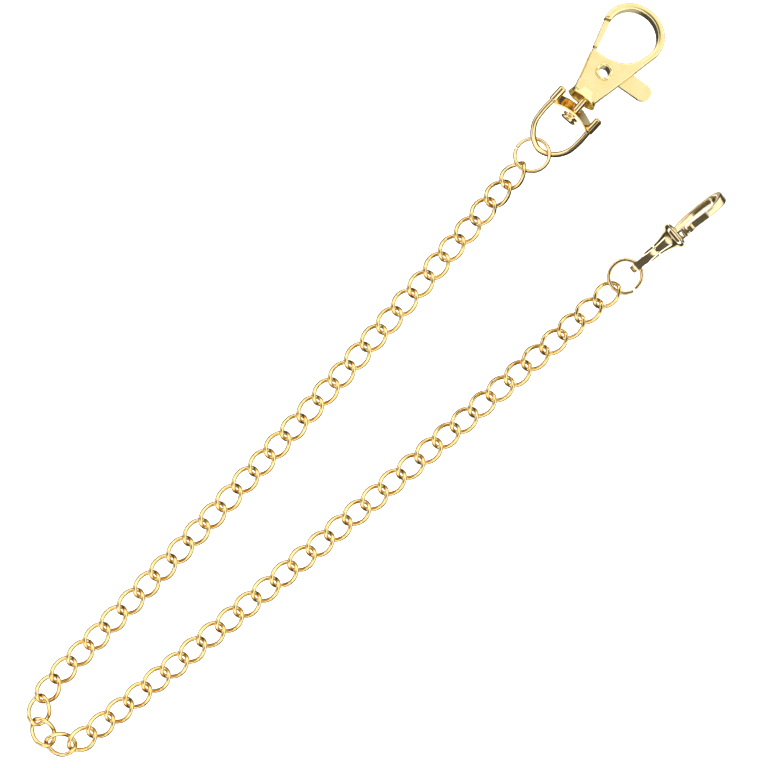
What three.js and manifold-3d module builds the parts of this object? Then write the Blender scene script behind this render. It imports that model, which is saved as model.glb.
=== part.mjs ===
// A gentleman's pocket watch chain: a curb chain lying doubled in a V, with a trigger clasp on
// one end and a small swivelling dog clip on the other. Millimetres, +Z up, lying on z = 0.
// +X runs along the middle of the V, from the bend to the clasps.
import * as THREE from 'three';
import { mergeVertices } from 'three/addons/utils/BufferGeometryUtils.js';
import Module from 'manifold-3d';

const wasm = await Module();
wasm.setup();

// ---- driving dimensions -------------------------------------------------------------------

const DEG = Math.PI / 180;
const FIT_GAP = 0.05; // between pieces that are pressed or riveted together

// curb chain
const LINK_COUNT = 63;
const PITCH = 5.0;
const LINK_WIRE_RADIUS = 0.465;
const LINK_PLAY = 0.29; // slack between two hooked links
const LINK_HALF_LENGTH = PITCH / 2 + LINK_WIRE_RADIUS + LINK_PLAY / 2;
const LINK_HALF_WIDTH = 2.175; // to the middle of the wire
const LINK_SQUARENESS = 2.3; // 2 is an ellipse
const LINK_TWIST = 48 * DEG; // each end is turned this far out of the link's plane
const LINK_STEPS = 12;
const LINK_SIDES = 6;
const BEAD_RADIUS = 0.5; // fills the crossing of two links that are made as one solid

// how the chain lies
const CHAIN_START = new THREE.Vector2(52.79, 13.15); // where link 1 hangs on its jump ring
const CLASP_ARM_STEP = 5.043; // the clasp's arm lies a little tauter than the other
const CHAIN_HEIGHT = 1.5;
const CLASP_ARM_HEADINGS = [186.29, 181.5]; // degrees, first link and last link before the bend
const BEND_TURNS = [9, 24, 42, 50, 43, 4]; // degrees turned at each joint of the bend
const CLIP_ARM_HEADINGS = [355.2, 357.9]; // degrees, first link after the bend and last link
const FIRST_BEND_LINK = 30;
const HEADING_SWAY = 2.2; // degrees, how unevenly the links lie
const ROLL_SWAY = 4.0;
const FIRST_LINK_ROLLS = [22.8, 10.4, -0.3]; // links 1 to 3 lie as the ring they hang on lets them
const FIRST_LINK_RAISE = 0.31; // how much higher link 1 lies than the others

// links 28 to 36, round the bend, are single; outside them every second and third is a pair
const FIRST_SINGLE_RUN_LINK = 28;
const LAST_SINGLE_RUN_LINK = 36;
const LINKS_PER_GROUP = 3;

// jump rings: round wire, cut through
const RING_WIRE_RADIUS = 0.45;
const CLASP_RING_RADIUS = 3.65;
const CLASP_RING_CUT = 2; // degrees, half of the cut
const CLASP_RING_POSITION = new THREE.Vector3(55.97, 13.13, 1.59);
const CLASP_RING_TURN = [-2, -3.1, -15.8]; // heading, pitch and roll
const CLIP_RING_RADIUS = 3.55;
const CLIP_RING_CUT = 4.5;
const CLIP_RING_POSITION = new THREE.Vector3(52.38, -18.93, 1.84);
const CLIP_RING_TURN = [1.7, 10.1, 13.3];

// trigger clasp, measured from its rivet; x runs to the hook's tip, z is its thickness
const CLASP_HEADING = 8.1;
const CLASP_PITCH = -4;
const CLASP_POSITION = new THREE.Vector3(78.5, 15.14, 2.85);
const BODY_HALF_THICKNESS = 1.9;
const BODY_CHAMFER = 0.3;
const POCKET_HALF_HEIGHT = 1.0;
const LOOP_CENTRE = new THREE.Vector2(10.3, 0.1);
const LOOP_OUTER = new THREE.Vector2(6.15, 6.95);
const LOOP_INNER = new THREE.Vector2(4.8, 5.4);
const NECK_START = -6.6;
const SOCKET_END = -5.6;
const NECK_CENTRE_Y = 0.2;
const RIM_START = -7.8;
const RIM_OUTER = new THREE.Vector2(3.35, 2.35);
const RIM_WALL = 0.55;
const EYELET_HOLE_RADIUS = 1.15;
const EYELET_BARREL_RADIUS = 1.4;
const EYELET_FLANGE_RADIUS = 1.9;
const EYELET_FLANGE = 0.35;
const LEVER_BOTTOM = -0.7;
const LEVER_THICKNESS = 1.1;
const GATE_BAR_THICKNESS = 2.6;
const TAB_RADIUS = 1.9;
const SPRING_RADIUS = 1.8;
const SPRING_WIRE_RADIUS = 0.15;
const SPRING_RECESS_RADIUS = 2.2;

// swivel yoke, measured from the middle of its strap; -x runs to the end of the bow
const YOKE_POSITION = new THREE.Vector3(69.89, 13.56, 3.16);
const YOKE_HEADING = 3.4;
const YOKE_PITCH = 9.2;
const YOKE_ROLL = 13.3;
const BOW_WIRE_RADIUS = 0.63;
const BOW_HALF_WIDTH = 5.15;
const BOW_LENGTH = 12.2;
const STRAP_THICKNESS = 0.9;
const STRAP_WIDTH = 4.0;
const STRAP_RISE = 1.1;
const STRAP_LEAN = 0.35; // its upper edge leans towards the bow, by this much of the height
const STRAP_SETBACK = 0.2; // how far its lower edge stands back from the yoke's own origin
const SLEEVE_RADIUS = 1.05;
const SLEEVE_START = -2.7;
const SLEEVE_LENGTH = 2.0;
const PIN_HEADING = 5.5;
const PIN_PITCH = 2.5;
const PIN_RADIUS = 0.8;
const PIN_HEAD_RADIUS = 1.8;
const PIN_HEAD_THICKNESS = 1.3;
const PIN_HEAD_GAP = 0.5; // between the head and the strap's leaning face
const PIN_GROOVE_DEPTH = 0.4;
const PIN_END = 4.5;
const STRAP_HOLE_RADIUS = 1.15;

// dog clip, measured from the middle of the bell's lip; x runs to the hook's tip
const CLIP_POSITION = new THREE.Vector3(65.6, -19.8, 3.55);
const CLIP_HEADING = -4.2;
const CLIP_PITCH = 8;
const CLIP_ROLL = -72; // the hook stands nearly on edge, its gate uppermost
const EYE_HOLE_X = -9.85;
const EYE_HOLE_RADIUS = 0.85;
const EYE_RADIUS = 1.8;
const EYE_HALF_THICKNESS = 0.8;
const STEM_END = -5.05;
const STEM_RADIUS = 1.45;
const SHANK_RADIUS = 0.8;
const CLIP_DISC_RADIUS = 2.85;
const GATE_PIVOT = new THREE.Vector2(2.1, -1.9);
const GATE_PIN_RADIUS = 0.38;
const GATE_EYE_RADIUS = 0.75;
const GATE_HALF_WIDTH = 0.8;
const EAR_HALF_SPAN = 1.05;

// ---- finishes -----------------------------------------------------------------------------

function gold(color, roughness) {
  return new THREE.MeshStandardMaterial({ color, roughness, metalness: 1.0 });
}

const finishes = {
  link: () => gold(0xe2b64e, 0.16),
  ring: () => gold(0xdcb25a, 0.18),
  clasp: () => gold(0xf0d68a, 0.24),
  wire: () => gold(0xe4bd62, 0.18),
  clip: () => gold(0xc9a860, 0.14),
  spring: () => new THREE.MeshStandardMaterial({ color: 0xb9bbbd, roughness: 0.3, metalness: 1.0 }),
};

// ---- helpers ------------------------------------------------------------------------------

/** A closed geometry as a solid that can be joined and cut. */
function solidOf(geometry) {
  const bare = geometry.clone();
  bare.deleteAttribute('normal');
  bare.deleteAttribute('uv');
  const merged = mergeVertices(bare, 1e-4);
  return new wasm.Manifold(new wasm.Mesh({
    numProp: 3,
    vertProperties: new Float32Array(merged.attributes.position.array),
    triVerts: new Uint32Array(merged.index.array),
  }));
}

/** A solid back as a geometry. */
function geometryOf(solid) {
  const { vertProperties, triVerts } = solid.getMesh();
  const geometry = new THREE.BufferGeometry();
  geometry.setAttribute('position', new THREE.BufferAttribute(vertProperties, 3));
  geometry.setIndex(new THREE.BufferAttribute(triVerts, 1));
  return geometry;
}

function meshOf(name, geometry, finish) {
  const mesh = new THREE.Mesh(geometry, finishes[finish]());
  mesh.name = name;
  return mesh;
}

/** A flat outline given thickness along z, from z = bottom. */
function plate(shape, bottom, thickness, chamfer = 0) {
  const geometry = new THREE.ExtrudeGeometry(shape, {
    depth: thickness - 2 * chamfer,
    curveSegments: 14,
    bevelEnabled: chamfer > 0,
    bevelThickness: chamfer,
    bevelSize: chamfer,
    bevelOffset: -chamfer,
    bevelSegments: 1,
  });
  return solidOf(geometry.translate(0, 0, bottom + chamfer));
}

function polygon(points) {
  return new THREE.Shape(points.map(([x, y]) => new THREE.Vector2(x, y)));
}

/** A cylinder along z, from z = bottom. */
function zRod(radius, bottom, length, x = 0, y = 0, sides = 20) {
  const geometry = new THREE.CylinderGeometry(radius, radius, length, sides);
  geometry.rotateX(Math.PI / 2).translate(x, y, bottom + length / 2);
  return solidOf(geometry);
}

/** A cylinder along x, from x = start. */
function xRod(radius, start, length, y = 0, z = 0, sides = 16) {
  const geometry = new THREE.CylinderGeometry(radius, radius, length, sides);
  geometry.rotateZ(Math.PI / 2).translate(start + length / 2, y, z);
  return solidOf(geometry);
}

/** A box between two corners. */
function block(low, high) {
  const size = high.map((value, i) => value - low[i]);
  const middle = high.map((value, i) => (value + low[i]) / 2);
  return solidOf(new THREE.BoxGeometry(...size).translate(...middle));
}

/** A turned piece about the x axis, from a closed outline of [x, radius] points. */
function turnedAboutX(outline, sides) {
  const profile = outline.map(([x, radius]) => new THREE.Vector2(radius, x));
  return new THREE.LatheGeometry(profile, sides).rotateZ(-Math.PI / 2);
}

/** A round wire with flat-cut ends along a curve. An arc gives two sides for each segment. */
function wireAlong(curve, radius, steps, sides) {
  const section = new THREE.Shape();
  section.absarc(0, 0, radius, 0, 2 * Math.PI, false);
  return new THREE.ExtrudeGeometry(section, {
    steps,
    curveSegments: sides / 2,
    extrudePath: curve,
    bevelEnabled: false,
  });
}

/** Stands an object at a point, turned to a heading, tipped nose up by pitch, rolled about x. */
function stand(object, position, heading, pitch = 0, roll = 0) {
  object.position.copy(position);
  object.rotation.set(roll * DEG, -pitch * DEG, heading * DEG, 'ZYX');
  return object;
}

// ---- chain links --------------------------------------------------------------------------

/** The middle of a link's wire: a squared oval whose two ends are twisted opposite ways. */
function linkCentreline(angle) {
  const cos = Math.cos(angle);
  const sin = Math.sin(angle);
  const power = 2 / LINK_SQUARENESS;
  const along = LINK_HALF_LENGTH * Math.sign(cos) * Math.abs(cos) ** power;
  const across = LINK_HALF_WIDTH * Math.sign(sin) * Math.abs(sin) ** power;
  const twist = -LINK_TWIST * along / LINK_HALF_LENGTH;
  return new THREE.Vector3(along, across * Math.cos(twist), across * Math.sin(twist));
}

/** One curb link: a torus bent onto the link's centreline, of the same section area as the wire. */
function linkGeometry() {
  const sectionArea = Math.PI;
  const polygonArea = (LINK_SIDES / 2) * Math.sin(2 * Math.PI / LINK_SIDES);
  const radius = LINK_WIRE_RADIUS * Math.sqrt(sectionArea / polygonArea);
  const geometry = new THREE.TorusGeometry(1, 0.5, LINK_SIDES, LINK_STEPS);
  const { position, uv } = geometry.attributes;
  const nearby = 1e-3;
  for (let i = 0; i < position.count; i += 1) {
    const angle = uv.getX(i) * 2 * Math.PI;
    const round = uv.getY(i) * 2 * Math.PI;
    const middle = linkCentreline(angle);
    const ahead = linkCentreline(angle + nearby).sub(linkCentreline(angle - nearby)).normalize();
    const outward = middle.clone().addScaledVector(ahead, -middle.dot(ahead)).normalize();
    const sideways = outward.clone().cross(ahead);
    middle.addScaledVector(outward, radius * Math.cos(round));
    middle.addScaledVector(sideways, radius * Math.sin(round));
    position.setXYZ(i, middle.x, middle.y, middle.z);
  }
  return geometry;
}

function mix(pair, share) {
  return pair[0] + (pair[1] - pair[0]) * share;
}

/** The way link k points, in degrees, from the clasp's end of the chain to the clip's. */
function linkHeading(k) {
  const sway = HEADING_SWAY * Math.sin(2.4 * k);
  const lastBendLink = FIRST_BEND_LINK + BEND_TURNS.length - 1;
  if (k < FIRST_BEND_LINK) {
    return mix(CLASP_ARM_HEADINGS, (k - 1) / (FIRST_BEND_LINK - 2)) + sway;
  }
  if (k < lastBendLink) {
    const turned = BEND_TURNS.slice(0, k - FIRST_BEND_LINK + 1).reduce((a, b) => a + b, 0);
    return CLASP_ARM_HEADINGS[1] + turned;
  }
  return mix(CLIP_ARM_HEADINGS, (k - lastBendLink) / (LINK_COUNT - lastBendLink)) + sway;
}

function linkRoll(k) {
  return FIRST_LINK_ROLLS[k - 1] ?? ROLL_SWAY * Math.sin(1.7 * k);
}

/** Where each link stands: its middle, heading and roll. */
function layOutLinks() {
  const places = [];
  const start = CHAIN_START.clone();
  for (let k = 1; k <= LINK_COUNT; k += 1) {
    const heading = linkHeading(k);
    const length = k < FIRST_BEND_LINK ? CLASP_ARM_STEP : PITCH;
    const step = new THREE.Vector2(length, 0).rotateAround(new THREE.Vector2(), heading * DEG);
    const middle = start.clone().addScaledVector(step, 0.5);
    const height = CHAIN_HEIGHT + (k === 1 ? FIRST_LINK_RAISE : 0);
    places.push({
      position: new THREE.Vector3(middle.x, middle.y, height),
      heading,
      roll: linkRoll(k),
    });
    start.add(step);
  }
  return places;
}

function numbered(k) {
  return String(k).padStart(2, '0');
}

/** A link mesh alone. */
function singleLink(k, places, geometry) {
  const mesh = meshOf(`link_${numbered(k)}`, geometry, 'link');
  return stand(mesh, places[k - 1].position, places[k - 1].heading, 0, places[k - 1].roll);
}

/** Two hooked links made as one solid, with a bead where their wires cross. */
function linkPair(k, places, geometry) {
  const first = singleLink(k, places, geometry);
  const second = singleLink(k + 1, places, geometry);
  first.updateMatrix();
  second.updateMatrix();
  const secondFromFirst = first.matrix.clone().invert().multiply(second.matrix);
  const bead = new THREE.SphereGeometry(BEAD_RADIUS, 6, 4).translate(PITCH / 2, 0, 0);
  const joined = solidOf(geometry)
    .add(solidOf(geometry).transform(secondFromFirst.elements))
    .add(solidOf(bead));
  const pair = meshOf(`links_${numbered(k)}_${numbered(k + 1)}`, geometryOf(joined), 'link');
  return stand(pair, places[k - 1].position, places[k - 1].heading, 0, places[k - 1].roll);
}

function buildLinks() {
  const links = new THREE.Group();
  const geometry = linkGeometry();
  const places = layOutLinks();
  let k = 1;
  while (k <= LINK_COUNT) {
    const roundTheBend = k >= FIRST_SINGLE_RUN_LINK && k <= LAST_SINGLE_RUN_LINK;
    links.add(singleLink(k, places, geometry));
    k += 1;
    if (!roundTheBend) {
      links.add(linkPair(k, places, geometry));
      k += LINKS_PER_GROUP - 1;
    }
  }
  return links;
}

// ---- jump rings ---------------------------------------------------------------------------

/** A cut ring of round wire in the xy plane, its cut at the angle given, its ends a little apart. */
function jumpRing(name, radius, cutAngle, halfCut, offset) {
  const points = [];
  const stretches = 16;
  for (let i = 0; i <= stretches; i += 1) {
    const share = i / stretches;
    const angle = (cutAngle + halfCut + share * (360 - 2 * halfCut)) * DEG;
    const height = offset * (share - 0.5);
    points.push(new THREE.Vector3(radius * Math.cos(angle), radius * Math.sin(angle), height));
  }
  const curve = new THREE.CatmullRomCurve3(points);
  return meshOf(name, wireAlong(curve, RING_WIRE_RADIUS, 26, 8), 'ring');
}

function buildJumpRings() {
  const rings = new THREE.Group();
  const claspRing = jumpRing('jump_ring_clasp_end', CLASP_RING_RADIUS, 110, CLASP_RING_CUT, 0);
  rings.add(stand(claspRing, CLASP_RING_POSITION, ...CLASP_RING_TURN));
  const clipRing = jumpRing('jump_ring_clip_end', CLIP_RING_RADIUS, -103, CLIP_RING_CUT, 0.9);
  rings.add(stand(clipRing, CLIP_RING_POSITION, ...CLIP_RING_TURN));
  return rings;
}

// ---- trigger clasp ------------------------------------------------------------------------

/** The clasp's plate seen from above: neck, hook loop and nose. */
function claspOutline() {
  const outline = new THREE.Shape();
  outline.moveTo(NECK_START, -2.62);
  outline.lineTo(9.76, -6.82);
  outline.absellipse(LOOP_CENTRE.x, LOOP_CENTRE.y, LOOP_OUTER.x, LOOP_OUTER.y, -95 * DEG, 100 * DEG, false);
  outline.absellipse(LOOP_CENTRE.x, LOOP_CENTRE.y, LOOP_INNER.x, LOOP_INNER.y, 98 * DEG, -96 * DEG, true);
  outline.bezierCurveTo(5.6, -4.8, 2.5, -2.4, 2.6, 4.0);
  outline.lineTo(2.6, 5.1);
  outline.lineTo(NECK_START, 2.83);
  outline.closePath();
  return outline;
}

/** An oval bar along x in the middle of the clasp's neck, drawn in by an amount all round. */
function neckOval(drawnIn, start, end) {
  const oval = new THREE.Shape();
  oval.absellipse(0, 0, RIM_OUTER.y - drawnIn, RIM_OUTER.x - drawnIn, 0, 2 * Math.PI, false);
  const geometry = new THREE.ExtrudeGeometry(oval, {
    depth: end - start,
    curveSegments: 10,
    bevelEnabled: false,
  });
  return solidOf(geometry.rotateY(Math.PI / 2).translate(start, NECK_CENTRE_Y, 0));
}

/** The hollow between the clasp's two cheeks, open on the loop side, above and below. */
function claspPocket() {
  const pocket = polygon([
    [-4.2, 8], [-4.2, -2.2], [-3.6, -2.4], [-3.6, -8], [4.4, -8],
    [4.4, -3.1], [4.0, -2.4], [6.0, 0], [6.0, 8],
  ]);
  return plate(pocket, -POCKET_HALF_HEIGHT, 2 * POCKET_HALF_HEIGHT);
}

/** The swivel pin's axis as seen from the clasp's own frame. */
function pinInClasp(clasp, pin) {
  clasp.updateMatrix();
  pin.updateMatrix();
  return clasp.matrix.clone().invert().multiply(pin.matrix);
}

function claspBody(clasp, pin) {
  const pinHole = xRod(PIN_RADIUS + FIT_GAP, -1, PIN_END + 2).transform(pinInClasp(clasp, pin).elements);
  const thickness = 2 * BODY_HALF_THICKNESS;
  const solid = plate(claspOutline(), -BODY_HALF_THICKNESS, thickness, BODY_CHAMFER)
    .add(neckOval(0, RIM_START, NECK_START + 1.5))
    .subtract(neckOval(RIM_WALL, RIM_START - 1, SOCKET_END))
    .subtract(claspPocket())
    .subtract(zRod(EYELET_BARREL_RADIUS + FIT_GAP, -5, 10))
    .subtract(pinHole);
  return meshOf('clasp_body', geometryOf(solid), 'clasp');
}

/** The hollow rivet that the trigger turns on, peened over on both cheeks. */
function claspRivet() {
  const inner = BODY_HALF_THICKNESS + FIT_GAP;
  const outer = inner + EYELET_FLANGE;
  const outline = [
    [-outer, EYELET_HOLE_RADIUS], [-outer, EYELET_FLANGE_RADIUS], [-inner, EYELET_FLANGE_RADIUS],
    [-inner, EYELET_BARREL_RADIUS], [inner, EYELET_BARREL_RADIUS], [inner, EYELET_FLANGE_RADIUS],
    [outer, EYELET_FLANGE_RADIUS], [outer, EYELET_HOLE_RADIUS], [-outer, EYELET_HOLE_RADIUS],
  ];
  const geometry = turnedAboutX(outline, 16).rotateY(-Math.PI / 2);
  return meshOf('clasp_rivet', geometry, 'clasp');
}

/** The lever between the cheeks: a gate bar that shuts the hook, and a thumb tab below. */
function triggerLever() {
  const outline = new THREE.Shape();
  outline.moveTo(-0.35, -3.4);
  outline.lineTo(-0.05, -9.0);
  outline.absarc(TAB_RADIUS - 0.05, -9.0, TAB_RADIUS, Math.PI, 2 * Math.PI, false);
  outline.lineTo(3.6, -5.6);
  outline.lineTo(2.6, -0.5);
  outline.lineTo(2.6, 4.1);
  outline.lineTo(3.6, 4.6);
  outline.lineTo(7.8, 5.5);
  outline.lineTo(7.6, 6.0);
  outline.lineTo(3.4, 4.9);
  outline.lineTo(2.3, 4.8);
  outline.lineTo(0.6, 4.45);
  outline.lineTo(-2.9, 1.4);
  outline.lineTo(-3.0, -1.0);
  outline.closePath();
  const bar = polygon([[3.3, 4.2], [9.0, 5.4], [8.6, 6.6], [3.0, 5.15]]);
  const recessBottom = -0.2;
  const springRoom = zRod(SPRING_RECESS_RADIUS, recessBottom, 3)
    .add(block([-4, -1.2, recessBottom], [0.2, SPRING_RECESS_RADIUS - 0.1, 3]));
  const solid = plate(outline, LEVER_BOTTOM, LEVER_THICKNESS)
    .subtract(springRoom)
    .subtract(zRod(EYELET_BARREL_RADIUS + 0.08, -3, 6))
    .add(plate(bar, -GATE_BAR_THICKNESS / 2, GATE_BAR_THICKNESS, 0.2));
  return meshOf('trigger_lever', geometryOf(solid), 'clasp');
}

/** A coil of one and a half turns round the rivet, with a straight leg at each end. */
function triggerSpring() {
  const top = 0.76;
  const bottom = 0.1;
  const turns = 1.5;
  const stretches = 18;
  const points = [new THREE.Vector3(-3.9, -SPRING_RADIUS, top), new THREE.Vector3(-2, -SPRING_RADIUS, top)];
  for (let i = 0; i <= stretches; i += 1) {
    const share = i / stretches;
    const angle = -Math.PI / 2 + share * turns * 2 * Math.PI;
    const height = top + (bottom - top) * share;
    points.push(new THREE.Vector3(SPRING_RADIUS * Math.cos(angle), SPRING_RADIUS * Math.sin(angle), height));
  }
  points.push(new THREE.Vector3(-1.5, SPRING_RADIUS, bottom), new THREE.Vector3(-3, SPRING_RADIUS, bottom));
  const curve = new THREE.CatmullRomCurve3(points);
  return meshOf('trigger_spring', wireAlong(curve, SPRING_WIRE_RADIUS, 32, 6), 'spring');
}

/** The headed pin that the yoke turns on, its end held in the clasp's neck, a groove round its head. */
function swivelPin() {
  const leaningBack = STRAP_LEAN * (PIN_HEAD_RADIUS + STRAP_WIDTH / 2);
  const headEnd = -STRAP_SETBACK - STRAP_THICKNESS / 2 - leaningBack - PIN_HEAD_GAP;
  const headStart = headEnd - PIN_HEAD_THICKNESS;
  const grooveRadius = PIN_HEAD_RADIUS - PIN_GROOVE_DEPTH;
  const outline = [
    [headStart, 0], [headStart, PIN_HEAD_RADIUS - 0.25], [headStart + 0.25, PIN_HEAD_RADIUS],
    [headStart + 0.55, PIN_HEAD_RADIUS], [headStart + 0.55, grooveRadius],
    [headEnd - 0.45, grooveRadius], [headEnd - 0.45, PIN_HEAD_RADIUS],
    [headEnd, PIN_HEAD_RADIUS], [headEnd, PIN_RADIUS], [PIN_END, PIN_RADIUS], [PIN_END, 0],
  ];
  return meshOf('swivel_pin', turnedAboutX(outline, 14), 'wire');
}

// ---- swivel yoke --------------------------------------------------------------------------

/** The arched, leaning strap that the pin passes through, with a sleeve on each end for the bow. */
function yokeStrap() {
  const half = STRAP_THICKNESS / 2;
  const reach = BOW_HALF_WIDTH - 0.4;
  const arch = new THREE.Shape();
  arch.moveTo(half - STRAP_RISE, -reach);
  arch.quadraticCurveTo(half + STRAP_RISE, 0, half - STRAP_RISE, reach);
  arch.lineTo(-half - STRAP_RISE, reach);
  arch.quadraticCurveTo(-half + STRAP_RISE, 0, -half - STRAP_RISE, -reach);
  const lean = new THREE.Matrix4().makeShear(0, 0, 0, 0, -STRAP_LEAN, 0);
  let solid = plate(arch, 0, STRAP_WIDTH)
    .transform(lean.elements)
    .translate([-STRAP_SETBACK, 0, -STRAP_WIDTH / 2]);
  for (const side of [-1, 1]) {
    solid = solid.add(xRod(SLEEVE_RADIUS, SLEEVE_START, SLEEVE_LENGTH, side * BOW_HALF_WIDTH, 0, 12));
  }
  for (const side of [-1, 1]) {
    solid = solid.subtract(xRod(BOW_WIRE_RADIUS + FIT_GAP, -6, 12, side * BOW_HALF_WIDTH));
  }
  solid = solid.subtract(xRod(STRAP_HOLE_RADIUS, -3, 6));
  return meshOf('yoke_strap', geometryOf(solid), 'wire');
}

/** The D-shaped wire bow, its cut ends standing out of the strap's sleeves. */
function yokeBow() {
  const side = [[0.9, 5.15], [-2.6, 5.15], [-5.6, 5.2], [-8.6, 4.7], [-11.1, 2.8]];
  const far = [[-BOW_LENGTH, 0]];
  const back = side.map(([x, y]) => [x, -y]).reverse();
  const points = [...side, ...far, ...back].map(([x, y]) => new THREE.Vector3(x, y, 0));
  const curve = new THREE.CatmullRomCurve3(points);
  return meshOf('yoke_bow', wireAlong(curve, BOW_WIRE_RADIUS, 26, 8), 'wire');
}

function buildClasp() {
  const hardware = new THREE.Group();
  const clasp = stand(new THREE.Group(), CLASP_POSITION, CLASP_HEADING, CLASP_PITCH);
  const pin = stand(swivelPin(), YOKE_POSITION, PIN_HEADING, PIN_PITCH);
  clasp.add(claspBody(clasp, pin), claspRivet(), triggerLever(), triggerSpring());
  const yoke = stand(new THREE.Group(), YOKE_POSITION, YOKE_HEADING, YOKE_PITCH, YOKE_ROLL);
  yoke.add(yokeStrap(), yokeBow());
  hardware.add(clasp, pin, yoke);
  return hardware;
}

// ---- dog clip -----------------------------------------------------------------------------

/** The flattened eye, its wedge-shaped stem, and the headed shank inside the bell. */
function clipEye() {
  const side = new THREE.Shape();
  side.moveTo(STEM_END, -STEM_RADIUS);
  side.lineTo(STEM_END, STEM_RADIUS);
  side.lineTo(EYE_HOLE_X, EYE_RADIUS);
  side.absarc(EYE_HOLE_X, 0, EYE_RADIUS, Math.PI / 2, 3 * Math.PI / 2, false);
  side.closePath();
  const top = polygon([
    [EYE_HOLE_X - 3, -EYE_HALF_THICKNESS], [-8.6, -EYE_HALF_THICKNESS], [STEM_END + 0.5, -STEM_RADIUS],
    [STEM_END + 1, -STEM_RADIUS], [STEM_END + 1, STEM_RADIUS], [STEM_END + 0.5, STEM_RADIUS],
    [-8.6, EYE_HALF_THICKNESS], [EYE_HOLE_X - 3, EYE_HALF_THICKNESS],
  ]);
  const upright = plate(side, -3, 6).rotate([90, 0, 0]);
  const round = xRod(EYE_RADIUS, EYE_HOLE_X - 3, STEM_END - EYE_HOLE_X + 3, 0, 0, 18);
  const head = [[-2.6, 0], [-2.6, 1.3], [-1.9, 1.1], [-1.9, 0]];
  const solid = upright
    .intersect(plate(top, -3, 6))
    .intersect(round)
    .subtract(zRod(EYE_HOLE_RADIUS, -3, 6, EYE_HOLE_X, 0, 14).rotate([90, 0, 0]))
    .add(xRod(SHANK_RADIUS, STEM_END - 0.5, 3.2, 0, 0, 12))
    .add(solidOf(turnedAboutX(head, 12)));
  return meshOf('clip_eye', geometryOf(solid), 'clip');
}

/** The bell: a flared shell with a rolled lip, open at both ends. */
function clipBell() {
  const bore = SHANK_RADIUS + 0.12;
  const outline = [
    [-4.75, bore], [-4.75, 1.35], [-3.6, 1.5], [-2.2, 1.9], [-1.0, 2.45], [-0.4, 3.0],
    [0, 3.15], [0.35, 3.0], [0.35, 2.6], [-1.2, 1.95], [-3.0, 1.5], [-3.0, bore], [-4.75, bore],
  ];
  return meshOf('clip_bell', turnedAboutX(outline, 18), 'clip');
}

/** The fixed hook on its disc, with two ears for the gate's pin. */
function clipHook() {
  const disc = [[-0.6, 0], [-0.6, 1.5], [0.4, 1.7], [0.45, CLIP_DISC_RADIUS], [0.75, CLIP_DISC_RADIUS - 0.2],
    [1.0, 1.6], [1.0, 0]];
  const curve = new THREE.CatmullRomCurve3([
    [0.85, 2.0], [2.6, 2.8], [5.6, 3.3], [8.6, 3.2], [11.2, 2.2], [12.4, 0.3], [12.0, -1.7], [10.4, -2.8],
    [8.3, -3.05],
  ].map(([x, y]) => new THREE.Vector3(x, y, 0)));
  const half = 0.55;
  const section = polygon([
    [-half, -0.55], [-0.3, -GATE_HALF_WIDTH], [0.3, -GATE_HALF_WIDTH], [half, -0.55],
    [half, 0.55], [0.3, GATE_HALF_WIDTH], [-0.3, GATE_HALF_WIDTH], [-half, 0.55],
  ]);
  const strip = new THREE.ExtrudeGeometry(section, { steps: 22, extrudePath: curve, bevelEnabled: false });
  const slotHalf = 0.58;
  const ears = zRod(GATE_EYE_RADIUS, -EAR_HALF_SPAN, 2 * EAR_HALF_SPAN, GATE_PIVOT.x, GATE_PIVOT.y, 14)
    .add(block([0.7, GATE_PIVOT.y - 0.6, -EAR_HALF_SPAN], [GATE_PIVOT.x, GATE_PIVOT.y + 0.7, EAR_HALF_SPAN]))
    .subtract(block([1.05, -4, -slotHalf], [4, 0, slotHalf]));
  const solid = solidOf(turnedAboutX(disc, 18))
    .add(solidOf(strip))
    .add(ears)
    .subtract(zRod(GATE_PIN_RADIUS + 0.04, -3, 6, GATE_PIVOT.x, GATE_PIVOT.y, 12));
  return meshOf('clip_hook', geometryOf(solid), 'clip');
}

/** The gate that shuts the clip's hook, with a thumb nub near its pin. */
function clipGate() {
  const eyeTop = 0.1;
  const eyeBottom = -0.5;
  const arm = polygon([
    [2.9, -2.55], [3.0, -3.3], [3.9, -3.4], [4.2, -2.75], [7.8, -3.15], [7.95, -2.25], [3.2, -1.75],
  ]);
  const root = polygon([[GATE_PIVOT.x, -1.3], [3.6, -1.75], [3.6, -2.65], [GATE_PIVOT.x, -2.5]]);
  const solid = zRod(GATE_EYE_RADIUS - 0.1, eyeBottom, eyeTop - eyeBottom, GATE_PIVOT.x, GATE_PIVOT.y, 14)
    .add(plate(root, eyeBottom, eyeTop - eyeBottom))
    .add(plate(arm, -GATE_HALF_WIDTH, 2 * GATE_HALF_WIDTH, 0.15))
    .subtract(zRod(GATE_PIN_RADIUS + 0.05, -3, 6, GATE_PIVOT.x, GATE_PIVOT.y, 12));
  return meshOf('clip_gate', geometryOf(solid), 'clip');
}

function clipGatePin() {
  const length = 2 * EAR_HALF_SPAN + 0.1;
  const geometry = new THREE.CylinderGeometry(GATE_PIN_RADIUS, GATE_PIN_RADIUS, length, 12);
  geometry.rotateX(Math.PI / 2).translate(GATE_PIVOT.x, GATE_PIVOT.y, 0);
  return meshOf('clip_gate_pin', geometry, 'clip');
}

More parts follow.
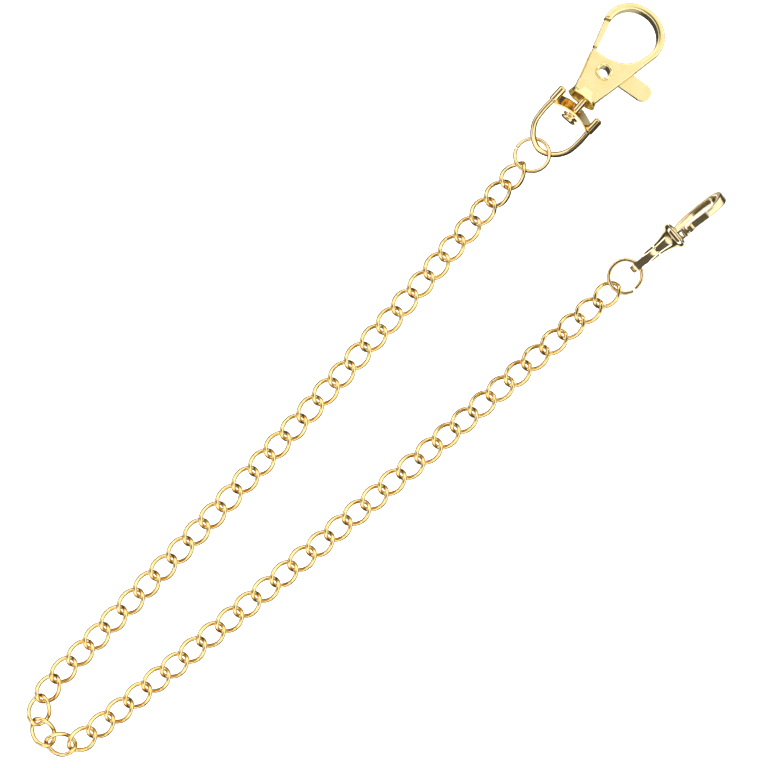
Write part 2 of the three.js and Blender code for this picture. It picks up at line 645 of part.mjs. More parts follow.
/** One and a quarter turns of fine wire beside the gate's eye. */
function clipGateSpring() {
  const radius = 0.56;
  const wireRadius = 0.08;
  const bottom = 0.21;
  const top = 0.44;
  const stretches = 15;
  const points = [];
  for (let i = 0; i <= stretches; i += 1) {
    const share = i / stretches;
    const angle = share * 1.25 * 2 * Math.PI;
    const x = GATE_PIVOT.x + radius * Math.cos(angle);
    const y = GATE_PIVOT.y + radius * Math.sin(angle);
    points.push(new THREE.Vector3(x, y, bottom + (top - bottom) * share));
  }
  const curve = new THREE.CatmullRomCurve3(points);
  return meshOf('clip_gate_spring', wireAlong(curve, wireRadius, 20, 6), 'spring');
}

function buildClip() {
  const hardware = new THREE.Group();
  const eye = stand(clipEye(), CLIP_POSITION, CLIP_HEADING, CLIP_PITCH);
  const clip = stand(new THREE.Group(), CLIP_POSITION, CLIP_HEADING, CLIP_PITCH, CLIP_ROLL);
  clip.add(clipBell(), clipHook(), clipGate(), clipGatePin(), clipGateSpring());
  hardware.add(eye, clip);
  return hardware;
}

// ---- the whole chain ----------------------------------------------------------------------

const watchChain = new THREE.Group();
watchChain.add(buildClasp(), buildJumpRings(), buildLinks(), buildClip());

// the origin is the middle of the underside of the chain's box
const box = new THREE.Box3().setFromObject(watchChain, true);
const middle = box.getCenter(new THREE.Vector3());
watchChain.position.set(-middle.x, -middle.y, -box.min.z);

export default watchChain;
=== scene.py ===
import math

import bmesh
import bpy
from mathutils import Euler, Matrix, Vector


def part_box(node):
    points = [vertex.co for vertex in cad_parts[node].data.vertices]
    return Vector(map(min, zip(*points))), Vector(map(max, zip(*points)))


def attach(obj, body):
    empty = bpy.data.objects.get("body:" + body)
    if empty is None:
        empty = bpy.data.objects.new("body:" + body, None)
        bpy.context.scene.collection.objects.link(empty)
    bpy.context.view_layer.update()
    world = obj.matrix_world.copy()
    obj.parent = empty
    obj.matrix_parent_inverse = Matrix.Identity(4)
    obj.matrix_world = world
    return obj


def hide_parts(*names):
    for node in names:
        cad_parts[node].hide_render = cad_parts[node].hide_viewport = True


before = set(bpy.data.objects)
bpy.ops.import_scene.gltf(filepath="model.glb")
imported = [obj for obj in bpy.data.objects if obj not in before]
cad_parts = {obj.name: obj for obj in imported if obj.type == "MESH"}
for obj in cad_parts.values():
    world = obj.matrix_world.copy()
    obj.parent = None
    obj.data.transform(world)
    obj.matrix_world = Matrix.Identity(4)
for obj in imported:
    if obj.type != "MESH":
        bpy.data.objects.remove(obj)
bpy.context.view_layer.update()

# A gentleman's pocket watch chain. Lengths are in millimetres and become metres in finish_piece().

MM = 0.001
TAU = 2 * math.pi

# ---- driving dimensions ----------------------------------------------------------------------

# curb chain
LINK_COUNT = 63
PITCH = 5.0
LINK_WIRE_RADIUS = 0.465
LINK_PLAY = 0.29
LINK_HALF_LENGTH = PITCH / 2 + LINK_WIRE_RADIUS + LINK_PLAY / 2
LINK_HALF_WIDTH = 2.175
LINK_SQUARENESS = 2.3
LINK_TWIST = math.radians(48)
LINK_STEPS = 72
LINK_SIDES = 18
SEAM_ANGLE = 1.5 * math.pi  # where the link's wire was closed
SEAM_DEPTH = 0.05

# how the chain lies; angles are in degrees
CHAIN_START = Vector((52.79, 13.15, 0))
CLASP_ARM_STEP = 5.043
CHAIN_HEIGHT = 1.5
CLASP_ARM_HEADINGS = (186.29, 181.5)
BEND_TURNS = (9, 24, 42, 50, 43, 4)
CLIP_ARM_HEADINGS = (355.2, 357.9)
FIRST_BEND_LINK = 30
HEADING_SWAY = 2.2
HEADING_SWAY_RATE = 2.4
ROLL_SWAY = 4.0
ROLL_SWAY_RATE = 1.7
FIRST_LINK_ROLLS = {1: 22.8, 2: 10.4, 3: -0.3}
FIRST_LINK_RAISE = 0.31

# jump rings; a turn is heading, pitch and roll
RING_WIRE_RADIUS = 0.42
RING_STEPS = 110
CLASP_RING_RADIUS = 3.65
CLASP_RING_CUT = (110, 2, 0)  # the cut's angle, half its width in degrees, and the ends' offset
CLASP_RING_POSITION = Vector((55.97, 13.13, 1.59))
CLASP_RING_TURN = (-2, -3.1, -15.8)
CLIP_RING_RADIUS = 3.55
CLIP_RING_CUT = (-103, 4.5, 0.9)
CLIP_RING_POSITION = Vector((52.38, -18.93, 1.84))
CLIP_RING_TURN = (1.7, 10.1, 13.3)

# trigger clasp, from its rivet
CLASP_POSITION = Vector((78.5, 15.14, 2.85))
CLASP_TURN = (8.1, -4, 0)
BODY_HALF_THICKNESS = 1.9
BODY_EDGE = 0.36
POCKET_HALF_HEIGHT = 1.0
LOOP_CENTRE = Vector((10.3, 0.1))
LOOP_OUTER = (6.15, 6.95)
LOOP_INNER = (4.8, 5.4)
LOOP_MIDDLE = (5.4, 6.1)  # between the two
NECK_START = -6.6
NECK_SIDES = (-2.62, 2.83)
NECK_CENTRE_Y = 0.2
GATE_SEAT = Vector((2.6, 5.1))
SOCKET_END = -5.6
LIP_START = -7.8
LIP_HALF_WIDTH = 3.4
LIP_HALF_HEIGHT = 2.38
EYELET_HOLE_RADIUS = 1.15
EYELET_BARREL_RADIUS = 1.4
EYELET_FLANGE_RADIUS = 1.9
EYELET_FLANGE = 0.35
LEVER_BOTTOM = -0.7
LEVER_TOP = 0.4
GATE_BAR_HALF = 1.3
TAB_RADIUS = 1.9
TAB_CENTRE_Y = -9.0
SPRING_RECESS_BOTTOM = -0.2
SPRING_RECESS_RADIUS = 2.2
TRIGGER_SPRING_RADIUS = 1.8
TRIGGER_SPRING_WIRE = 0.15
TRIGGER_SPRING_TURNS = 1.5
FIT_GAP = 0.05

# swivel yoke, from the middle of its strap
YOKE_POSITION = Vector((69.89, 13.56, 3.16))
YOKE_TURN = (3.4, 9.2, 13.3)
PIN_TURN = (5.5, 2.5, 0)
BOW_WIRE_RADIUS = 0.63
BOW_HALF_WIDTH = 5.15
BOW_LENGTH = 12.2
STRAP_THICKNESS = 0.9
STRAP_WIDTH = 4.0
STRAP_RISE = 1.1
STRAP_LEAN = 0.35
STRAP_SETBACK = 0.2
STRAP_HOLE_RADIUS = 1.15
STRAP_THINNING = 0.45  # at its upper edge
SLEEVE_RADIUS = 0.9
SLEEVE_START = -2.7
SLEEVE_LENGTH = 3.4
PIN_RADIUS = 0.8
PIN_HEAD_RADIUS = 1.8
PIN_HEAD_THICKNESS = 1.3
PIN_HEAD_GAP = 0.5
PIN_GROOVE_DEPTH = 0.4
PIN_GROOVE_SIDES = (0.55, 0.45)  # what the groove leaves of the head before and after it
PIN_END = 4.5

# dog clip, from the middle of the bell's lip
CLIP_POSITION = Vector((65.6, -19.8, 3.55))
CLIP_EYE_TURN = (-4.2, 8, 0)
CLIP_TURN = (-4.2, 8, -72)  # the hook stands nearly on edge, its gate uppermost
EYE_HOLE_X = -9.85
EYE_HOLE_RADIUS = 0.85
EYE_RADIUS = 1.8
STEM_END = -5.05
STEM_RADIUS = 1.45
SHANK_RADIUS = 0.8
HOOK_CORNER = 0.38
GATE_PIVOT = Vector((2.1, -1.9))
GATE_PIN_RADIUS = 0.38
GATE_EYE_RADIUS = 0.75
EAR_HALF_SPAN = 1.05
GATE_SPRING_RADIUS = 0.56
GATE_SPRING_WIRE = 0.08
GATE_SPRING_TURNS = 1.25

# ---- places ----------------------------------------------------------------------------------


def turned(position, heading, pitch=0.0, roll=0.0):
    """The matrix that stands a piece at a point: heading, then nose up by pitch, then roll."""
    angles = Euler((math.radians(roll), -math.radians(pitch), math.radians(heading)), "XYZ")
    return Matrix.Translation(position) @ angles.to_matrix().to_4x4()


def mix(pair, share):
    """The value that lies a share of the way from the first of a pair to the second."""
    return pair[0] + (pair[1] - pair[0]) * share


def link_heading(k):
    """Which way link k points, in degrees from +X."""
    sway = HEADING_SWAY * math.sin(HEADING_SWAY_RATE * k)
    last_bend_link = FIRST_BEND_LINK + len(BEND_TURNS) - 1
    if k < FIRST_BEND_LINK:
        return mix(CLASP_ARM_HEADINGS, (k - 1) / (FIRST_BEND_LINK - 2)) + sway
    if k < last_bend_link:
        return CLASP_ARM_HEADINGS[1] + sum(BEND_TURNS[: k - FIRST_BEND_LINK + 1])
    share = (k - last_bend_link) / (LINK_COUNT - last_bend_link)
    return mix(CLIP_ARM_HEADINGS, share) + sway


def link_places():
    """Each link's matrix, from the clasp's end of the chain to the clip's."""
    places = {}
    start = CHAIN_START.copy()
    for k in range(1, LINK_COUNT + 1):
        heading = math.radians(link_heading(k))
        length = CLASP_ARM_STEP if k < FIRST_BEND_LINK else PITCH
        step = Vector((length * math.cos(heading), length * math.sin(heading), 0))
        middle = start + step / 2
        middle.z = CHAIN_HEIGHT + (FIRST_LINK_RAISE if k == 1 else 0)
        roll = FIRST_LINK_ROLLS.get(k, ROLL_SWAY * math.sin(ROLL_SWAY_RATE * k))
        places[k] = turned(middle, link_heading(k), 0, roll)
        start += step
    return places


LINK_PLACES = link_places()

# The places above aren't measured from the frame's origin. CLASP_POSITION is the middle of the
# rivet, so the rivet's box in the frame gives the difference.
low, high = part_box("clasp_rivet")
SHIFT = Matrix.Translation((low + high) / 2 / MM - CLASP_POSITION)

# ---- mesh helpers ----------------------------------------------------------------------------


def join_rings(bm, rings, closed=False):
    """Quads between neighbouring rings of vertices, with a face on each end unless closed."""
    pairs = list(zip(rings, rings[1:]))
    if closed:
        pairs.append((rings[-1], rings[0]))
    for a, b in pairs:
        n = len(a)
        for i in range(n):
            j = (i + 1) % n
            bm.faces.new((a[i], a[j], b[j], b[i]))
    if not closed:
        bm.faces.new(rings[0])
        bm.faces.new(rings[-1])


def rings_of(bm, loops):
    """A ring of vertices for each loop of points."""
    return [[bm.verts.new(p) for p in loop] for loop in loops]


def solid_from(loops, closed=False):
    """A closed mesh from a stack of loops of points, all with the same number of points."""
    bm = bmesh.new()
    join_rings(bm, rings_of(bm, loops), closed)
    bmesh.ops.recalc_face_normals(bm, faces=bm.faces)
    return bm


def smooth_path(points, steps):
    """A centripetal Catmull-Rom curve through the points, at equal steps of its length."""
    points = [Vector(p) for p in points]
    first = points[0] * 2 - points[1]
    last = points[-1] * 2 - points[-2]
    padded = [first, *points, last]
    fine = []
    per_span = 24
    for i in range(len(points) - 1):
        p0, p1, p2, p3 = padded[i : i + 4]
        d0, d1, d2 = [(b - a).length ** 0.5 for a, b in ((p0, p1), (p1, p2), (p2, p3))]
        t1 = ((p1 - p0) / d0 - (p2 - p0) / (d0 + d1) + (p2 - p1) / d1) * d1
        t2 = ((p2 - p1) / d1 - (p3 - p1) / (d1 + d2) + (p3 - p2) / d2) * d1
        for j in range(per_span):
            t = j / per_span
            c2 = -3 * p1 + 3 * p2 - 2 * t1 - t2
            c3 = 2 * p1 - 2 * p2 + t1 + t2
            fine.append(p1 + t1 * t + c2 * t**2 + c3 * t**3)
    fine.append(points[-1])
    return evenly(fine, steps)


def evenly(points, steps):
    """The polyline again, at equal steps of its length."""
    lengths = [0.0]
    for a, b in zip(points, points[1:]):
        lengths.append(lengths[-1] + (b - a).length)
    result, i = [], 0
    for n in range(steps + 1):
        target = lengths[-1] * n / steps
        while i < len(points) - 2 and lengths[i + 1] < target:
            i += 1
        span = lengths[i + 1] - lengths[i]
        result.append(points[i].lerp(points[i + 1], (target - lengths[i]) / span))
    return result


def direction(path, i):
    """Which way an open path runs at one of its points."""
    return (path[min(i + 1, len(path) - 1)] - path[max(i - 1, 0)]).normalized()


def transported(path):
    """The path's direction at each point, and two across it, carried along without twist."""
    frames = []
    across = None
    for i in range(len(path)):
        ahead = direction(path, i)
        if across is None:
            across = ahead.orthogonal().normalized()
        across = (across - ahead * across.dot(ahead)).normalized()
        frames.append((ahead, across, ahead.cross(across)))
    return frames


def wire(path, radius, sides=18, chamfer=0.07):
    """A round wire along an open path, its cut ends slightly chamfered."""
    loops = []
    frames = transported(path)

    def ring(i, r, push=0.0):
        ahead, across, up = frames[i]
        centre = path[i] + ahead * push
        angles = [TAU * s / sides for s in range(sides)]
        return [centre + across * (r * math.cos(a)) + up * (r * math.sin(a)) for a in angles]

    loops.append(ring(0, radius - chamfer))
    loops.append(ring(0, radius, chamfer))
    loops += [ring(i, radius) for i in range(1, len(path) - 1)]
    loops.append(ring(len(path) - 1, radius, -chamfer))
    loops.append(ring(len(path) - 1, radius - chamfer))
    return solid_from(loops)


NEARLY_STRAIGHT = math.radians(88)  # half of a corner's angle


def rounded(points, radii, steps=6):
    """A closed outline whose corners are turned into arcs. radii is one number or one for each."""
    points = [Vector(p) for p in points]
    if not hasattr(radii, "__len__"):
        radii = [radii] * len(points)
    outline = []
    for i, corner in enumerate(points):
        radius = radii[i]
        back = (points[i - 1] - corner).normalized()
        on = (points[(i + 1) % len(points)] - corner).normalized()
        half = back.angle(on) / 2
        if radius <= 0 or half > NEARLY_STRAIGHT:
            outline.append(corner)
            continue
        start = corner + back * (radius / math.tan(half))
        centre = corner + (back + on).normalized() * (radius / math.sin(half))
        first = start - centre
        sign = 1 if back.cross(on) < 0 else -1
        total = math.pi - 2 * half
        for s in range(steps + 1):
            a = sign * total * s / steps
            turned_point = Vector((
                first.x * math.cos(a) - first.y * math.sin(a),
                first.x * math.sin(a) + first.y * math.cos(a),
            ))
            outline.append(centre + turned_point)
    return outline


def arc(centre, radii, start, end, steps):
    """Points on an ellipse from one angle to another, in degrees."""
    angles = [math.radians(mix((start, end), s / steps)) for s in range(steps + 1)]
    return [Vector((centre[0] + radii[0] * math.cos(a), centre[1] + radii[1] * math.sin(a)))
            for a in angles]


def bezier(p0, p1, p2, p3, steps):
    """Points on a cubic curve, without its two ends."""
    result = []
    for s in range(1, steps):
        t = s / steps
        u = 1 - t
        point = Vector((0, 0))
        for p, weight in ((p0, u**3), (p1, 3 * u * u * t), (p2, 3 * u * t * t), (p3, t**3)):
            point += Vector(p) * weight
        result.append(point)
    return result


LEAST_REACH = 0.35  # keeps a sharp corner from moving too far inwards


def inset(outline, distances):
    """The outline moved inwards, by a distance for each point."""
    n = len(outline)
    area = sum(outline[i - 1].cross(outline[i]) for i in range(n))
    turn = 1 if area > 0 else -1
    result = []
    for i, point in enumerate(outline):
        before = (point - outline[i - 1]).normalized()
        after = (outline[(i + 1) % n] - point).normalized()
        along = (before + after).normalized()
        normal = Vector((-along.y, along.x)) * turn
        reach = max(LEAST_REACH, along.dot(after))
        result.append(point + normal * (distances[i] / reach))
    return result


def prism(outline, bottom, top):
    """A straight-sided plate, to cut with or to join."""
    return solid_from([[Vector((x, y, z)) for x, y in outline] for z in (bottom, top)])


def slab(outline, bottom, top, edge, steps=4, weight=None):
    """A plate with rounded edges. weight(point) makes the rounding wider on part of the outline."""
    weights = [weight(p) if weight else 1.0 for p in outline]
    loops = []
    quarter = [math.pi / 2 * s / steps for s in range(steps + 1)]
    levels = [(1 - math.sin(a), bottom + edge * (1 - math.cos(a))) for a in quarter]
    levels += [(1 - math.sin(a), top - edge * (1 - math.cos(a))) for a in reversed(quarter)]
    for share, height in levels:
        loop = inset(outline, [edge * share * w for w in weights])
        loops.append([Vector((p.x, p.y, height)) for p in loop])
    return solid_from(loops)


def turned_piece(profile, sides, stretch=(1.0, 1.0)):
    """Turned about the x axis, from points of (x, radius) that go round and back to the first."""
    loops = []
    for s in range(sides):
        a = TAU * s / sides
        across = Vector((0, stretch[0] * math.cos(a), stretch[1] * math.sin(a)))
        loops.append([Vector((p[0], 0, 0)) + across * max(p[1], 0.0) for p in profile])
    bm = bmesh.new()
    join_rings(bm, rings_of(bm, loops), closed=True)
    bmesh.ops.remove_doubles(bm, verts=bm.verts, dist=1e-4)
    bmesh.ops.dissolve_degenerate(bm, edges=bm.edges, dist=1e-5)
    bmesh.ops.recalc_face_normals(bm, faces=bm.faces)
    return bm


def stood_up(bm):
    """A piece that was turned about x, with its axis now along z."""
    bmesh.ops.rotate(bm, cent=(0, 0, 0), matrix=Matrix.Rotation(-math.pi / 2, 3, "Y"), verts=bm.verts)
    return bm


def block(low_corner, high_corner):
    """A plain box, to cut with or to join."""
    (x0, x1), (y0, y1), (bottom, top) = zip(low_corner, high_corner)
    return prism(((x0, y0), (x1, y0), (x1, y1), (x0, y1)), bottom, top)


def rod(radius, start, end, axis="z", centre=(0, 0), sides=40):
    """A cylinder along an axis, to cut with or to join."""
    loops = []
    for along in (start, end):
        ring = [(centre[0] + radius * math.cos(TAU * s / sides),
                 centre[1] + radius * math.sin(TAU * s / sides)) for s in range(sides)]
        if axis == "z":
            loops.append([Vector((a, b, along)) for a, b in ring])
        elif axis == "x":
            loops.append([Vector((along, a, b)) for a, b in ring])
        else:
            loops.append([Vector((a, along, b)) for a, b in ring])
    return solid_from(loops)


def as_object(bm, name="work"):
    """An object in the scene that holds the mesh."""
    mesh = bpy.data.meshes.new(name)
    bm.to_mesh(mesh)
    bm.free()
    obj = bpy.data.objects.new(name, mesh)
    bpy.context.scene.collection.objects.link(obj)
    return obj


def combine(base, others):
    """Joins and cuts closed meshes. others is a list of pairs: a boolean operation and a mesh."""
    target = as_object(base)
    tools = []
    for operation, bm in others:
        tool = as_object(bm)
        tools.append(tool)
        modifier = target.modifiers.new(operation, "BOOLEAN")
        modifier.operation = operation
        modifier.solver = "EXACT"
        modifier.object = tool
    bpy.context.view_layer.update()
    evaluated = target.evaluated_get(bpy.context.evaluated_depsgraph_get())
    result = bmesh.new()
    result.from_mesh(evaluated.to_mesh())
    evaluated.to_mesh_clear()
    for obj in (target, *tools):
        mesh = obj.data
        bpy.data.objects.remove(obj)
        bpy.data.meshes.remove(mesh)
    bmesh.ops.remove_doubles(result, verts=result.verts, dist=1e-4)
    return result


# ---- materials -------------------------------------------------------------------------------

CLOUD_SCALE = 420  # to the metre
GRAIN_STRETCH = 9
MARK_DEPTH = 0.00002  # metres


def gilt(name, color, dark, roughness, grain):
    """Metal plating: cloudy colour, a polish that varies between two values, fine marks along x."""
    material = bpy.data.materials.new(name)
    material.use_nodes = True
    nodes = material.node_tree.nodes
    links = material.node_tree.links
    shader = nodes["Principled BSDF"]
    shader.inputs["Metallic"].default_value = 1.0
    shader.inputs["Specular IOR Level"].default_value = 0.5
    place = nodes.new("ShaderNodeTexCoord")
    each = nodes.new("ShaderNodeObjectInfo")
    apart = nodes.new("ShaderNodeVectorMath")
    apart.operation = "ADD"
    scatter = nodes.new("ShaderNodeCombineXYZ")
    for axis in "XYZ":
        links.new(each.outputs["Random"], scatter.inputs[axis])
    links.new(place.outputs["Object"], apart.inputs[0])
    links.new(scatter.outputs[0], apart.inputs[1])

    clouds = nodes.new("ShaderNodeTexNoise")
    clouds.inputs["Scale"].default_value = CLOUD_SCALE
    clouds.inputs["Detail"].default_value = 3
    links.new(apart.outputs[0], clouds.inputs["Vector"])
    tint = nodes.new("ShaderNodeValToRGB")
    tint.color_ramp.elements[0].position = 0.33
    tint.color_ramp.elements[0].color = (*dark, 1)
    tint.color_ramp.elements[1].position = 0.66
    tint.color_ramp.elements[1].color = (*color, 1)
    links.new(clouds.outputs["Fac"], tint.inputs["Fac"])
    links.new(tint.outputs["Color"], shader.inputs["Base Color"])

    rubbing = nodes.new("ShaderNodeMapping")
    rubbing.inputs["Scale"].default_value = (grain, grain * GRAIN_STRETCH, grain * GRAIN_STRETCH)
    links.new(apart.outputs[0], rubbing.inputs["Vector"])
    marks = nodes.new("ShaderNodeTexNoise")
    marks.inputs["Scale"].default_value = 1.0
    marks.inputs["Detail"].default_value = 4
    marks.inputs["Roughness"].default_value = 0.65
    links.new(rubbing.outputs["Vector"], marks.inputs["Vector"])
    polish = nodes.new("ShaderNodeMapRange")
    polish.inputs["From Min"].default_value = 0.3
    polish.inputs["From Max"].default_value = 0.75
    polish.inputs["To Min"].default_value = roughness[0]
    polish.inputs["To Max"].default_value = roughness[1]
    links.new(marks.outputs["Fac"], polish.inputs["Value"])
    links.new(polish.outputs["Result"], shader.inputs["Roughness"])

    bump = nodes.new("ShaderNodeBump")
    bump.inputs["Strength"].default_value = 0.12
    bump.inputs["Distance"].default_value = MARK_DEPTH
    links.new(marks.outputs["Fac"], bump.inputs["Height"])
    links.new(bump.outputs["Normal"], shader.inputs["Normal"])
    return material


# the finish of each of the record's material slots
FINISHES = {
    "chain_links": gilt("link_gold", (1.0, 0.77, 0.36), (0.98, 0.68, 0.25), (0.06, 0.17), 500),
    "jump_rings": gilt("ring_gold", (1.0, 0.77, 0.41), (0.94, 0.67, 0.31), (0.07, 0.18), 500),
    "clasp_gilt": gilt("clasp_gold", (0.99, 0.84, 0.43), (0.96, 0.78, 0.35), (0.14, 0.28), 260),
    "wire_gilt": gilt("wire_gold", (1.0, 0.80, 0.43), (0.94, 0.69, 0.31), (0.08, 0.19), 400),
    "clip_gilt": gilt("clip_gold", (0.95, 0.79, 0.49), (0.85, 0.67, 0.38), (0.06, 0.16), 400),
    "spring_steel": gilt("spring_wire", (0.62, 0.60, 0.56), (0.45, 0.43, 0.40), (0.20, 0.34), 900),
}

# ---- pieces of the object --------------------------------------------------------------------

SHARP_EDGE = math.radians(38)


def finish_piece(name, bm, place, body, node, slot):
    """A piece of the object: its mesh in metres, shaded, stood in its place, riding its body."""
    mesh = bpy.data.meshes.new(name)
    bmesh.ops.transform(bm, matrix=Matrix.Scale(MM, 4) @ SHIFT @ place, verts=bm.verts)
    for face in bm.faces:
        face.smooth = True
    for edge in bm.edges:
        edge.smooth = len(edge.link_faces) == 2 and edge.calc_face_angle(0) < SHARP_EDGE
    bm.to_mesh(mesh)
    bm.free()
    mesh.materials.append(FINISHES[slot])
    obj = bpy.data.objects.new(name, mesh)
    bpy.context.scene.collection.objects.link(obj)
    even = obj.modifiers.new("even_shading", "WEIGHTED_NORMAL")
    even.keep_sharp = True
    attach(obj, body)
    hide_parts(node)


# ---- chain links -----------------------------------------------------------------------------


def link_centreline(angle):
    """The middle of a link's wire: a squared oval whose two ends are twisted opposite ways."""
    power = 2 / LINK_SQUARENESS
    cos, sin = math.cos(angle), math.sin(angle)
    along = LINK_HALF_LENGTH * math.copysign(abs(cos) ** power, cos)
    across = LINK_HALF_WIDTH * math.copysign(abs(sin) ** power, sin)
    twist = -LINK_TWIST * along / LINK_HALF_LENGTH
    return Vector((along, across * math.cos(twist), across * math.sin(twist)))


def link_mesh():
    """One curb link, with a fine seam where its wire was closed."""
    fine = 720
    per_step = 4
    path = evenly([link_centreline(TAU * i / fine) for i in range(fine + 1)], LINK_STEPS * per_step)
    loops = []
    for i in range(LINK_STEPS):
        at = per_step * i
        middle = path[at]
        ahead = (path[at + 1] - path[at - 1 if i else -2]).normalized()
        outward = (middle - ahead * middle.dot(ahead)).normalized()
        sideways = outward.cross(ahead)
        off_seam = abs(i / LINK_STEPS - SEAM_ANGLE / TAU) * LINK_STEPS
        radius = LINK_WIRE_RADIUS - (SEAM_DEPTH if off_seam < 0.5 else 0)
        loops.append([
            middle + outward * (radius * math.cos(TAU * s / LINK_SIDES))
            + sideways * (radius * math.sin(TAU * s / LINK_SIDES))
            for s in range(LINK_SIDES)
        ])
    return solid_from(loops, closed=True)


def build_links():
    """Every link by itself, on the body that carries it."""
    link = link_mesh()
    for node in sorted(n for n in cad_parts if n.startswith("link")):
        for k in map(int, node.split("_")[1:]):
            finish_piece(f"curb_link_{k:02d}", link.copy(), LINK_PLACES[k], node, node, "chain_links")
    link.free()


# ---- jump rings ------------------------------------------------------------------------------


def jump_ring(radius, cut):
    """A ring of round wire, cut through at one place, its two ends a little apart in height."""
    angle, half_cut, offset = cut
    path = []
    for i in range(RING_STEPS + 1):
        share = i / RING_STEPS
        a = math.radians(angle + half_cut + share * (360 - 2 * half_cut))
        path.append(Vector((radius * math.cos(a), radius * math.sin(a), offset * (share - 0.5))))
    return wire(path, RING_WIRE_RADIUS)


def build_rings():
    """The ring on the clasp's bow and the ring in the clip's eye."""
    clasp_place = turned(CLASP_RING_POSITION, *CLASP_RING_TURN)
    finish_piece("cut_ring_clasp_end", jump_ring(CLASP_RING_RADIUS, CLASP_RING_CUT), clasp_place,
                 "clasp_ring", "jump_ring_clasp_end", "jump_rings")
    clip_place = turned(CLIP_RING_POSITION, *CLIP_RING_TURN)
    finish_piece("cut_ring_clip_end", jump_ring(CLIP_RING_RADIUS, CLIP_RING_CUT), clip_place,
                 "clip_ring", "jump_ring_clip_end", "jump_rings")


# ---- trigger clasp ---------------------------------------------------------------------------

CLASP_PLACE = turned(CLASP_POSITION, *CLASP_TURN)
PIN_PLACE = turned(YOKE_POSITION, *PIN_TURN)
YOKE_PLACE = turned(YOKE_POSITION, *YOKE_TURN)


def clasp_outline():
    """The clasp's plate seen from above: neck, hook loop, nose, and back along the loop."""
    outer = arc(LOOP_CENTRE, LOOP_OUTER, -95, 100, 72)
    inner = arc(LOOP_CENTRE, LOOP_INNER, 98, -96, 64)
    throat_end = (GATE_SEAT.x, 4.0)
    throat = bezier(inner[-1], (5.6, -4.8), (2.5, -2.4), throat_end, 22)
    neck_low, neck_high = [(NECK_START, y) for y in NECK_SIDES]
    neck = rounded([GATE_SEAT, neck_high, neck_low, (9.76, -6.82)], [0, 0.5, 0.5, 0])[1:-1]
    corner = rounded([throat_end, GATE_SEAT, neck_high], [0, 0.5, 0])[1:-1]
    return neck + outer + inner + throat + corner


def neck_oval(profile):
    """Turned about the middle of the neck and flattened. Radii are shares of the lip's."""
    bm = turned_piece(profile, 56, stretch=(LIP_HALF_WIDTH, LIP_HALF_HEIGHT))
    bmesh.ops.translate(bm, vec=(0, NECK_CENTRE_Y, 0), verts=bm.verts)
    return bm


def clasp_rim():
    """The rounded lip at the end of the neck."""
    end = NECK_START + 1.5
    return neck_oval([(end, 0.0), (end, 0.86), (-6.2, 0.90), (-7.1, 0.97), (-7.5, 1.0), (-7.7, 1.0),
                      (LIP_START, 0.97), (LIP_START, 0.0)])


def clasp_socket():
    """The open oval hollow inside the lip."""
    outside = LIP_START - 1
    return neck_oval([(SOCKET_END, 0.0), (SOCKET_END, 0.76), (-6.4, 0.80), (-7.2, 0.82), (-7.7, 0.84),
                      (LIP_START, 0.87), (outside, 0.87), (outside, 0.0)])


def mouth_slant():
    """What is cut off the mouth, so that its upper lip stands back."""
    side = ((-8.6, -2.6), (LIP_START, -2.2), (-6.75, 2.6), (-8.6, 2.6))
    return solid_from([[Vector((x, y, z)) for x, z in side] for y in (-4.5, 4.5)])


def clasp_pocket():
    """The hollow between the two cheeks."""
    outline = [(-4.2, 8), (-4.2, -2.2), (-3.6, -2.4), (-3.6, -8), (4.4, -8),
               (4.4, -3.1), (4.0, -2.4), (6.0, 0), (6.0, 8)]
    return prism(outline, -POCKET_HALF_HEIGHT, POCKET_HALF_HEIGHT)


def upper_cheek_step():
    """A strip off the upper cheek, so that it stands back from the lower one."""
    return prism([(-4.2, 3.06), (2.15, 4.62), (2.15, 6.5), (-4.2, 6.5)], 0.5, 3.0)


def edge_width(point):
    """The loop's inside is rounded more than the rest of the plate is."""
    from_loop = point - LOOP_CENTRE
    inside = (from_loop.x / LOOP_MIDDLE[0]) ** 2 + (from_loop.y / LOOP_MIDDLE[1]) ** 2 < 1
    return 1.9 if inside else 1.0


def clasp_body():
    """The casting: plate with its loop, lip, mouth and socket, with the pocket between two cheeks."""
    plate = slab(clasp_outline(), -BODY_HALF_THICKNESS, BODY_HALF_THICKNESS, BODY_EDGE, 5, edge_width)
    pin_hole = rod(PIN_RADIUS + FIT_GAP, -1, PIN_END + 2, "x")
    bmesh.ops.transform(pin_hole, matrix=CLASP_PLACE.inverted() @ PIN_PLACE, verts=pin_hole.verts)
    return combine(plate, [
        ("UNION", clasp_rim()),
        ("DIFFERENCE", mouth_slant()),
        ("DIFFERENCE", clasp_socket()),
        ("DIFFERENCE", clasp_pocket()),
        ("DIFFERENCE", upper_cheek_step()),
        ("DIFFERENCE", rod(EYELET_BARREL_RADIUS + FIT_GAP, -5, 5)),
        ("DIFFERENCE", pin_hole),
    ])


